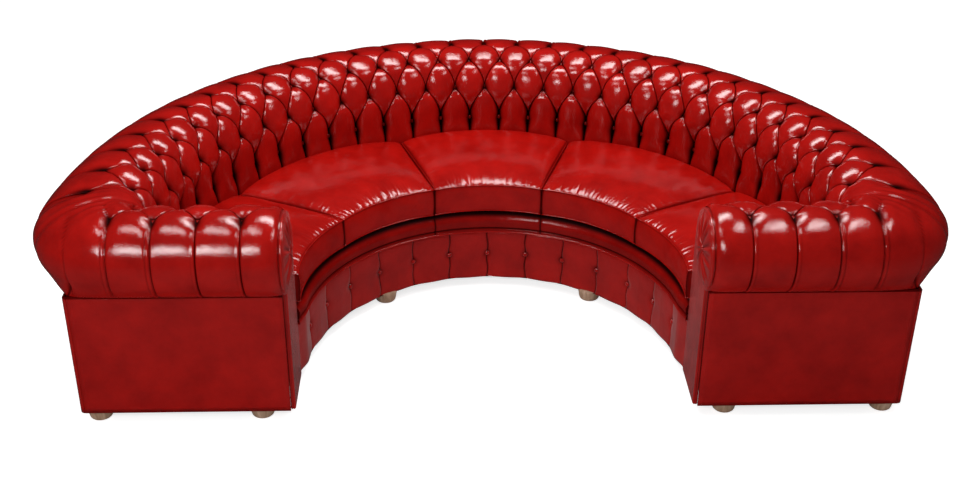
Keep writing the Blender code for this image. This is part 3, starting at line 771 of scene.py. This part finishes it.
def end_shift(turn):
    """The border and the lip draw back at their ends, to meet the arm fronts."""
    return end_draw * smooth((np.abs(turn) - math.radians(83)) / math.radians(7))


def swept_ring(name, profile, steps, material, bend):
    """A closed profile of radius and height swept round the half circle. bend moves it and gives its painted
    shade.
    """
    turns = np.linspace(-quarter, quarter, steps + 1)
    turn, out = np.meshgrid(turns, [radius for radius, _ in profile], indexing="ij")
    height = np.broadcast_to([height for _, height in profile], turn.shape)
    out, painted_shades = bend(turn, out, height)
    out = out + end_shift(turn)
    points = np.stack([out * np.sin(turn), out * np.cos(turn), height], -1)
    base = numbered(*turn.shape)
    faces = sheet_faces(base.T, 1) + [base[0].tolist(), base[-1, ::-1].tolist()]
    return mesh_piece(name, points, faces, material, painted_shades=painted_shades)


def make_front_border(material):
    """Pleated band under the platform's lip, with small covered buttons on its pleats."""
    hem, inside = border_radius + border_hem, border_radius + border_thickness
    width = border_pitch * border_radius
    front = [(border_radius, height) for height in np.linspace(cover_bottom, border_top, 26)]
    profile = [(hem, cover_bottom), *front, (hem, border_top), (inside, border_top), (inside, cover_bottom)]

    def bend(turn, out, height):
        face = out < border_radius + border_hem / 2
        nearest = np.round(turn / border_pitch)
        offset = (turn / border_pitch - nearest) * width + 0.0025 * np.sin(height * 60 + 2.0 * nearest)
        ahead = offset * np.where(nearest < 1, 1.0, -1.0)
        up = height - border_button_height
        pleat = 0.0040 * fade(np.abs(offset), 0.009) + 0.0035 * bell(offset, 0.0022)
        step = 0.0030 * np.where(ahead > 0, fade(ahead, 0.030), 0.0)
        pit = 0.006 * bell(offset, 0.016) * bell(up, 0.022)
        pillow = 0.0020 * np.cos(offset * 2 * math.pi / width)
        tucked = 0.0015 * fade(height - cover_bottom, 0.003) + 0.004 * fade(border_top - height, 0.008)
        # Painted shade along each pleat line and in a ring round each button, where the leather is pulled
        # into its pit.
        button_pit_shade = 0.8 * bell(np.hypot(offset, up), 0.014)
        shade = np.where(face, np.maximum(bell(offset, 0.0026), button_pit_shade), 0.0)
        return out + np.where(face, pleat + step + pit + pillow + tucked, 0.0), shade

    made = swept_ring("front_border_cover", profile, 14 * 56, material, bend)
    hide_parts("front_border")
    shapes = []
    for number in range(-6, 7):
        way = np.array([math.sin(number * border_pitch), math.cos(number * border_pitch), 0.0])
        centre = (border_radius + 0.008) * way + (0.0, 0.0, border_button_height)
        shapes.append(dome(centre, -way, *border_button_size))
    mesh_piece("border_buttons", *join_shapes(shapes), material)


def make_seat_platform(material):
    """Padded deck with a rolled lip, a seam under the roll and cross seams, and painted shade on the lip and
    the deck.
    """
    front, rear = border_radius - 0.006, back_radius - 0.002
    lip = front + lip_radius
    profile = [(rear, platform_bottom), (rear, platform_top)]
    profile += [(rear - (rear - lip) * share, platform_top) for share in (0.25, 0.5, 0.75, 0.9)]
    profile += [(lip - lip_radius * math.sin(turn), platform_top - lip_radius * (1 - math.cos(turn)))
                for turn in np.linspace(0, quarter, 13)]
    profile += [(front, height)
                for height in np.linspace(platform_top - lip_radius - 0.004, platform_bottom + 0.006, 9)]
    profile.append((front + 0.006, platform_bottom))

    def bend(turn, out, height):
        forward = out < lip + 0.001
        groove = bell(height - lip_seam_height, seam_width)
        cross = bell((np.abs(turn) - deck_seam_turn) * border_radius, seam_width)
        belly = 0.0035 * bell(height - lip_belly_height, 0.020)
        # Painted shade: the lip is darkened all over, more in its seams and where the cushions overhang it,
        # and the deck under the cushions is darkened as well.
        under_cushion_shade = smooth((height - platform_top + 0.026) / 0.018)
        shade = np.where(forward, unit(0.38 + 0.7 * groove + 0.6 * cross + 0.8 * under_cushion_shade), 0.5)
        return out + np.where(forward, 0.006 * groove + 0.0035 * cross - belly, 0.0), shade

    made = swept_ring("seat_platform_cover", profile, 360, material, bend)
    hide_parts("seat_platform")
    turns = np.linspace(-quarter, quarter, 181)
    reach = border_radius - 0.004 + end_shift(turns)
    line = np.stack([reach * np.sin(turns), reach * np.cos(turns), turns * 0 + platform_cord_height], -1)
    mesh_piece("platform_piping", *tube(line, platform_cord, closed=False), material)


def crown_share(share, power=0.6):
    return unit(1 - (2 * share - 1) ** 2) ** power


def seam_turn(seam, deep):
    swing = {1: -cushion_seam_swing, 4: cushion_seam_swing}.get(seam, 0.0)
    return -quarter + seam * cushion_angle + swing * deep


def cushion_plan(number, around, deep, swell):
    """Plan place on a wedge cushion from its shares of width and depth, swollen outwards."""
    middle = -quarter + (number + 0.5) * cushion_angle
    start, end = seam_turn(number, deep), seam_turn(number + 1, deep)
    turn = start + (end - start) * around - middle
    radius = border_radius + (seat_depth - 0.004) * deep
    radius = radius + (0.005 * crown_share(around) + 0.004 - swell) * (1 - deep) ** 2
    radius = radius - (0.005 - swell) * deep ** 2
    edge = (2 * around - 1) * (0.0048 + 0.002 * crown_share(deep) - 0.6 * swell)
    across = radius * np.sin(turn) - edge
    along = radius * np.cos(turn)
    return (across * math.cos(middle) + along * math.sin(middle),
            -across * math.sin(middle) + along * math.cos(middle))


def cushion_edge(count):
    """Shares of width and depth around a cushion's outline, corners included."""
    run = np.linspace(0, 1, count + 1)[:-1]
    none = run * 0
    return np.concatenate([run, none + 1, 1 - run, none]), np.concatenate([none, run, none + 1, 1 - run])


def cushion_gathers(state, around, deep, from_front, from_side):
    """Fine gathers along the front and side seams, at random places."""
    total = np.zeros_like(around)

    def gather(offset, wide, size, distance, reach):
        return size * bell(offset, wide) * np.exp(-(distance / reach) ** 1.6) * smooth(distance / 0.008)

    for _ in range(64):
        centre, wide = state.uniform(0.02, 0.98), state.uniform(0.005, 0.013)
        reach = state.uniform(0.018, 0.060)
        lean = state.uniform(-0.35, 0.35) + 0.5 * (centre - 0.5)
        size = state.uniform(0.3, 1.0) * (1 if state.random() < 0.55 else -1)
        total += gather(around - centre - lean * from_front, wide, size, from_front, reach)
    for _ in range(34):
        centre, wide = state.uniform(0.02, 0.98), state.uniform(0.006, 0.020)
        reach = state.uniform(0.015, 0.05)
        size = state.uniform(0.2, 0.7) * (1 if state.random() < 0.5 else -1)
        total += gather(deep - centre, wide, size, from_side, reach)
    return total


def make_cushion(number, material):
    """A crowned boxed wedge, fullest at the back, with fine gathers at its seams and a cord in them, and
    painted shade along its seams.
    """
    phase = number * 3.7
    even = np.linspace(0, 1, 151)
    even = 0.5 - 0.225 * np.cos(np.pi * even) - 0.275 * (1 - 2 * even)
    around, deep = np.meshgrid(even, np.linspace(0, 1, 97) ** 1.35, indexing="ij")
    fullness = np.where(deep > 0.5, crown_share(deep, 0.16), crown_share(deep, 0.8))
    rise = (cushion_crown + cushion_rear_crown * smooth((deep - 0.5) / 0.4)) * fullness
    rise = rise * crown_share(around, 0.42)
    from_front = deep * seat_depth
    from_side = np.minimum(around, 1 - around) * cushion_angle * (border_radius + from_front)
    nearest = np.minimum(from_front, from_side)
    gathers = cushion_gathers(np.random.default_rng(20 + number), around, deep, from_front, from_side)
    slow = 0.0006 * np.sin(around * 17 + 5 * deep + phase) * np.sin(deep * 13 - 3 * around + phase)
    slow = slow + 0.0002 * np.sin(around * 39 + phase * 2) * np.sin(deep * 27 + 9 * around)
    sit = 0.003 * bell(np.hypot(around - 0.5, deep - 0.5), 0.3)
    height = cushion_top + rise + gather_rise * gathers - sit + slow * smooth(nearest / 0.02)
    top = np.stack([*cushion_plan(number, around, deep, 0.0), height], -1)
    under = top[::6, ::6].copy()
    under[..., 2] = cushion_bottom
    edge_around, edge_deep = cushion_edge(60)
    edge_around, wall = np.meshgrid(edge_around, np.linspace(0, 1, 13), indexing="ij")
    edge_deep = np.broadcast_to(edge_deep[:, None], wall.shape)
    wall_x, wall_y = cushion_plan(number, edge_around, edge_deep, 0.0065 * np.sin(np.pi * wall) ** 0.6)
    pucker = 0.0009 * (np.sin(edge_around * 130 + phase) * np.cos(edge_around * 57) * wall ** 2
                       + 1.5 * np.sin(edge_around * 23 + phase + 5 * wall) * np.sin(np.pi * wall))
    from_bottom = wall * cushion_height
    walls = np.stack([wall_x * (1 + pucker), wall_y * (1 + pucker), cushion_bottom + from_bottom], -1)
    # Painted shade on the walls: under the top seam, along the bottom, and at the front corners where
    # neighbouring cushions meet.
    wall_painted_shade = 0.75 * fade(cushion_height - from_bottom, seam_shade) + 0.5 * fade(from_bottom, 0.003)
    from_corner = np.minimum(edge_around, 1 - edge_around) * cushion_angle * border_radius
    wall_painted_shade = np.maximum(wall_painted_shade, 0.9 * fade(from_corner, 0.004) * fade(edge_deep, 0.03))
    points, faces = join_shapes([(top.reshape(-1, 3), sheet_faces(numbered(*top.shape[:2]))),
                                 (walls.reshape(-1, 3), sheet_faces(numbered(*walls.shape[:2]), 1)),
                                 (under.reshape(-1, 3), sheet_faces(numbered(*under.shape[:2]).T))])
    # Painted shade along the top's seams; the underside has none.
    painted_shades = np.concatenate([0.75 * fade(nearest.reshape(-1), seam_shade), wall_painted_shade.reshape(-1),
                            np.zeros(under.size // 3)])
    name = f"seat_cushion_{number + 1}"
    made = mesh_piece(f"{name}_cover", points, faces, material, body=cushion_bodies[number], painted_shades=painted_shades)
    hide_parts(name)
    for word, height in (("top", cushion_top - 0.0008), ("bottom", cushion_bottom + 0.003)):
        line_x, line_y = cushion_plan(number, *cushion_edge(40), 0.0012)
        cord = tube(np.stack([line_x, line_y, line_x * 0 + height], -1), cushion_cord)
        mesh_piece(f"{name}_{word}_piping", *cord, material, body=cushion_bodies[number])


def make_outside_panels(material):
    """Flat leather outsides, taut over board, from one arm's front round the back to the other's."""
    start, flat = leather_end + 0.005, panel_radius - panel_bend
    bends = np.linspace(0, quarter, 7)
    straight = np.linspace(start, flat, panel_steps)[:-1]
    right = np.concatenate([
        np.stack([straight, straight * 0 - arm_panel_reach], -1),
        np.stack([flat + panel_bend * np.sin(bends),
                  panel_bend * (1 - np.cos(bends)) - arm_panel_reach], -1),
        [(panel_radius, -arm_panel_reach * share) for share in (0.75, 0.5, 0.25)]])
    turns = np.linspace(-quarter, quarter, 121)
    arc = panel_radius * np.stack([np.sin(turns), np.cos(turns)], -1)
    line = np.concatenate([right * (-1, 1), arc, right[::-1]])
    ahead = np.gradient(line, axis=0)
    outward = np.stack([-ahead[:, 1], ahead[:, 0]], -1) / np.linalg.norm(ahead, axis=1)[:, None]
    top_back, top_arm = (section_point(section, 4.0)[1] for section in (back_section, arm_section))
    share = np.where(line[:, 1] < 0, 1.0, corner_share(np.arctan2(line[:, 0], line[:, 1])))
    tops = top_back + (top_arm - top_back) * share + 0.004
    # Share of the height, and how far the sheet's edge turns outwards, under the board that grows out of it
    rims = [(0.0, 0.006), (0.0, 0.0015), (0.003, 0.0), (0.008, 0.0)]
    rims += [(level, 0.0) for level in np.linspace(0.05, 0.97, 16)]
    rims += [(0.982, 0.0), (0.988, 0.0002), (0.9925, 0.0006), (0.9965, 0.0014), (1.0, 0.0030)]
    level, flare = np.array(rims).T
    height = cover_bottom + (tops[:, None] - cover_bottom) * level
    plan = line[:, None] + outward[:, None] * flare[:, None]
    points = np.concatenate([plan, height[..., None]], -1)
    # Painted shade along the top edge, where the panel meets the roll's underside.
    painted_shades = np.broadcast_to(0.7 * unit((level - 0.9965) / 0.0035), height.shape)
    lengths = {"outside_arm_left": slice(None, panel_steps),
               "outside_back": slice(panel_steps - 1, 1 - panel_steps),
               "outside_arm_right": slice(-panel_steps, None)}
    for name, length in lengths.items():
        faces = sheet_faces(numbered(*points[length].shape[:2]))
        made = mesh_piece(f"{name}_cover", points[length], faces, material, painted_shades=painted_shades[length])
        thick = made.modifiers.new("board", "SOLIDIFY")
        thick.thickness = board_thickness
        thick.offset = -1
        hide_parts(name)


def facing_outline(inset):
    """Outline of an arm's front, y and z: seat side, over the scroll, outside, with round lower corners."""
    stations = np.append(0.5, np.linspace(1, 4, 90))
    depth = inset + (shoulder_drop + 0.001) * shoulder_share(stations)
    out, height = inset_point(arm_section, stations, depth)
    turns = np.linspace(quarter, 0, 7)
    flat, upright = facing_foot * (1 - np.cos(turns)), facing_foot * (1 - np.sin(turns))
    foot = cover_bottom + inset
    return (np.concatenate([-inset - flat, -out, upright + inset - arm_panel_reach]),
            np.concatenate([foot + upright, height, foot + flat]))


def make_facings(material):
    """Arm fronts: the wrapped board and its welt between two seams, each with its scroll."""
    # How far in from the outline, and how far back from the front, each ring lies
    steps = [(0.030, 0.0006), (0.012, 0.0002), (facing_edge, 0.0)]
    steps += [(facing_edge * (1 - math.sin(turn)), facing_edge * (1 - math.cos(turn)))
              for turn in np.linspace(0.25, quarter, 6)]
    steps += [(0.0004, 0.0072), (0.0022, 0.0080), (0.0004, 0.0088), (0.0, 0.0105), (0.0, 0.0130),
              (0.0004, 0.0148), (0.0014, 0.0156), (0.0014, 0.0166), (0.0060, 0.0168)]
    outlines = [facing_outline(inset + 0.0006) for inset, _ in steps]
    for side, word in arm_sides:
        rings = np.array([np.stack([places * 0 + side * (arm_front + across), places, heights], -1)
                          for (_, across), (places, heights) in zip(steps, outlines)])
        base = numbered(*rings.shape[:2])
        faces = sheet_faces(base.T, 1) + [base[0].tolist(), base[-1].tolist()]
        painted_shades = np.zeros(base.shape)
        # Painted shade in the welt's two seam grooves.
        painted_shades[10] = painted_shades[-3] = 0.7
        made = mesh_piece(f"arm_facing_{word}_cover", rings, faces, material, painted_shades=painted_shades)
        fix_normals(made)
        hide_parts(f"arm_facing_{word}")
        make_scroll(word, side, material)


def fix_normals(made):
    work = bmesh.new()
    work.from_mesh(made.data)
    bmesh.ops.recalc_face_normals(work, faces=work.faces)
    work.to_mesh(made.data)
    work.free()


def make_scroll(word, side, material):
    """Gathered round face of the arm, pulled in to a covered button, inside a corded rim."""
    reach = 0.80 * (arm_section["roll_out"] - arm_section["under_out"])
    rise = 0.82 * arm_section["under_drop"]
    centre_y = -arm_section["under_out"]
    centre_z = arm_section["crest_height"] - arm_section["roll_drop"] - 0.005

    def oval(across, turns, share, wider=0.0):
        return np.stack([side * across, centre_y + (reach * share + wider) * np.cos(turns),
                         centre_z + (rise * share + wider) * np.sin(turns)], -1)

    turns = np.linspace(0, 2 * math.pi, 241)[:-1]
    shares = [1.0, 1.0, 0.985, 0.96, 0.92, 0.86, 0.78, 0.69, 0.59, 0.49, 0.39, 0.30, 0.22, 0.15, 0.09, 0.03]
    turn, share = np.meshgrid(turns, shares, indexing="ij")
    ring = np.broadcast_to(np.arange(len(shares)), turn.shape)
    bulge = np.where(ring == 0, -0.002, 0.017 * (1 - (0.97 * share) ** 2) ** 0.5 - 0.002)
    wave = np.sin(14 * turn + 1.2 * np.sin(3 * turn)) + 0.5 * np.sin(23 * turn + 2.0)
    gathers = np.where(ring > 1, 0.0022 * wave * smooth((1 - share) * 5) * smooth(share * 4), 0.0)
    across = arm_front - 0.0003 - (bulge - 0.010 * bell(share, 0.18) + gathers)
    base = numbered(*turn.shape)
    faces = sheet_faces(base.T, 0, 1) + [base[:, -1].tolist()]
    # Painted shade in the hollows between the gathers.
    painted_shades = 0.5 * unit(-wave) * smooth((1 - share) * 3)
    made = mesh_piece(f"arm_scroll_{word}_cover", oval(across, turn, share), faces, material, painted_shades=painted_shades)
    fix_normals(made)
    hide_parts(f"arm_scroll_{word}")
    rim = oval(turns * 0 + arm_front + 0.004, turns, 1.0, 0.0015)
    mesh_piece(f"scroll_piping_{word}", *tube(rim, scroll_cord), material)
    middle = np.array([side * (arm_front - 0.010), centre_y, centre_z])
    button = dome(middle, (-side, 0, 0), *scroll_button_size)
    mesh_piece(f"scroll_button_{word}", *button, material)


def make_feet(material):
    """Turned feet with a rounded shoulder."""
    profile = [(0.036, 0.048), (0.0415, 0.0470), (0.0445, 0.0440), (0.0450, 0.0405), (0.0442, 0.034),
               (0.0428, 0.026), (0.0412, 0.017), (0.0396, 0.009), (0.0380, 0.0040), (0.0355, 0.0012),
               (0.0325, 0.0)]
    radius, height = np.array(profile).T[..., None]
    turns = np.linspace(0, 2 * math.pi, 49)[:-1]
    base = numbered(len(profile), len(turns))
    faces = sheet_faces(base.T, 1) + [base[0].tolist(), base[-1, ::-1].tolist()]
    for number in range(1, 11):
        low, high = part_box(f"foot_{number}")
        middle = (low + high) / 2
        points = np.stack([middle.x + radius * np.cos(turns), middle.y - row_shift + radius * np.sin(turns),
                           height + turns * 0], -1)
        made = mesh_piece(f"turned_foot_{number}", points, faces, material, slot="feet")
        fix_normals(made)
        made.data.set_sharp_from_angle(angle=math.radians(50))
        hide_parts(f"foot_{number}")


def dress_frame():
    """Timbers, webbing and dust cover keep their solids and get real surfaces."""
    timber = wood("frame_timber", (0.42, 0.26, 0.13), (0.62, 0.44, 0.25), stretch=(14, 14, 40), rough=0.62)
    web = woven("webbing_weave", (0.20, 0.15, 0.10), scale=160.0)
    cloth = woven("dust_cloth", (0.012, 0.012, 0.012))
    replaced = ("arm_pad", "arm_facing", "arm_scroll", "buttoned_back", "foot", "front_border", "outside",
                "seat_")
    for name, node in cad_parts.items():
        if name.startswith(replaced):
            continue
        chosen = web if name.startswith("webbing") else cloth if name == "dust_cover" else timber
        node.data.materials.clear()
        node.data.materials.append(chosen)


def make_stage():
    """Pale floor that shows white with its shadow, and is dark in the leather's reflections."""
    mesh = bpy.data.meshes.new("floor")
    mesh.from_pydata([(-30, -30, 0), (30, -30, 0), (30, 30, 0), (-30, 30, 0)], [], [(0, 1, 2, 3)])
    floor = new_object("floor", mesh)
    material, tree, shader = new_material("pale_floor")
    shader.inputs["Roughness"].default_value = 0.9
    shader.inputs["Specular IOR Level"].default_value = 0.1
    rays = add_node(tree, "LightPath", "Is Camera Ray").node.outputs
    tone = add_node(tree, "Mix", 2, {0: rays["Is Glossy Ray"], 6: (0.80, 0.80, 0.80, 1),
                                     7: (0.03, 0.03, 0.03, 1)}, data_type="RGBA")
    set_inputs(tree, shader, {"Base Color": tone})
    dark, glow = (add_node(tree, "Emission", "Emission", {"Strength": strength}) for strength in (0.0, 0.75))
    seen = add_node(tree, "MixShader", "Shader", {"Fac": rays["Is Camera Ray"], 1: dark, 2: glow})
    both = add_node(tree, "AddShader", "Shader", {0: shader.outputs["BSDF"], 1: seen})
    set_inputs(tree, tree.nodes["Material Output"], {"Surface": both})
    floor.data.materials.append(material)


def make_world():
    """White to the camera, a soft fill on matt surfaces and nearly black in reflections."""
    world = bpy.data.worlds.new("studio")
    bpy.context.scene.world = world
    world.use_nodes = True
    tree = world.node_tree
    fill = tree.nodes["Background"]
    set_inputs(tree, fill, {"Color": (1, 1, 1, 1), "Strength": 0.35})
    dim, white = (add_node(tree, "Background", "Background", {"Strength": strength})
                  for strength in (0.012, 1.0))
    rays = add_node(tree, "LightPath", "Is Camera Ray").node.outputs
    seen = add_node(tree, "Math", "Value", {0: rays["Is Camera Ray"], 1: rays["Is Transmission Ray"]},
                    operation="MAXIMUM")
    studio = add_node(tree, "MixShader", "Shader", {"Fac": rays["Is Diffuse Ray"], 1: dim,
                                                    2: fill.outputs["Background"]})
    both = add_node(tree, "MixShader", "Shader", {"Fac": seen, 1: studio, 2: white})
    set_inputs(tree, tree.nodes["World Output"], {"Surface": both})


def area_light(name, place, target, width, height, power):
    """Softbox from place towards target, both in the half circle's frame."""
    light = bpy.data.lights.new(name, "AREA")
    light.shape = "RECTANGLE"
    light.size, light.size_y = width, height
    light.energy = power
    made = new_object(name, light)
    made.location = (place[0], place[1] + row_shift, place[2])
    made.rotation_euler = (Vector(target) - Vector(place)).to_track_quat("-Z", "Y").to_euler()


def make_lights():
    area_light("overhead_softbox", (0.0, 0.95, 3.05), (0.0, 0.9, 0.5), 2.1, 0.80, 50)
    area_light("left_arm_softbox", (-1.45, -0.40, 3.0), (-1.3, -0.2, 0.6), 1.3, 0.4, 11)
    area_light("right_arm_softbox", (1.60, -0.35, 3.0), (1.3, -0.2, 0.6), 1.2, 0.45, 14)
    area_light("front_left_key", (-1.9, -2.9, 2.55), (-0.3, 0.1, 0.5), 1.7, 0.75, 40)


def make_camera():
    """Camera solved from the photograph: place, yaw, pitch and roll in the half circle's frame."""
    sensor, focal_pixels, photo_pixels = 36.0, 1322.539, 979
    yaw, pitch, roll = (math.radians(angle) for angle in (2.235, 29.245, 0.631))
    ahead = Vector((math.sin(yaw) * math.cos(pitch), math.cos(yaw) * math.cos(pitch), -math.sin(pitch)))
    right = Vector((math.cos(yaw), -math.sin(yaw), 0.0))
    up = right.cross(ahead)
    turned_right = right * math.cos(roll) + up * math.sin(roll)
    turned_up = up * math.cos(roll) - right * math.sin(roll)
    camera = bpy.data.cameras.new("photo_camera")
    camera.sensor_fit = "HORIZONTAL"
    camera.sensor_width = sensor
    camera.lens = sensor * focal_pixels / photo_pixels
    made = new_object("photo_camera", camera)
    matrix = Matrix((turned_right, turned_up, -ahead)).transposed().to_4x4()
    matrix.translation = Vector((-0.170, -3.913 + row_shift, 2.733))
    made.matrix_world = matrix
    bpy.context.scene.camera = made


make_camera()
cherry = leather("cherry_leather")
make_buttoned_covers(cherry, leather("rubbed_leather", dull_below=0.64))
# The pit buttons' leather is darker and less glossy than the rest: painted shade for buttons deep in their
# pits.
make_buttons(leather("button_leather_painted_shade", (0.20, 0.0022, 0.0014), (0.26, 0.0034, 0.0020), coat=0.25))
rubbed = leather("border_leather", sheen=0.22)
make_front_border(rubbed)
make_seat_platform(cherry)
seat_leather = leather("seat_leather", coat=0.8, polish=0.10)
for cushion_number in range(5):
    make_cushion(cushion_number, seat_leather)
make_outside_panels(cherry)
make_facings(leather("facing_leather", sheen=0.08))
make_feet(wood("foot_wood", (0.39, 0.23, 0.14), (0.64, 0.43, 0.30)))
dress_frame()
make_stage()
make_world()
make_lights()

bpy.context.scene.view_settings.view_transform = "Standard"
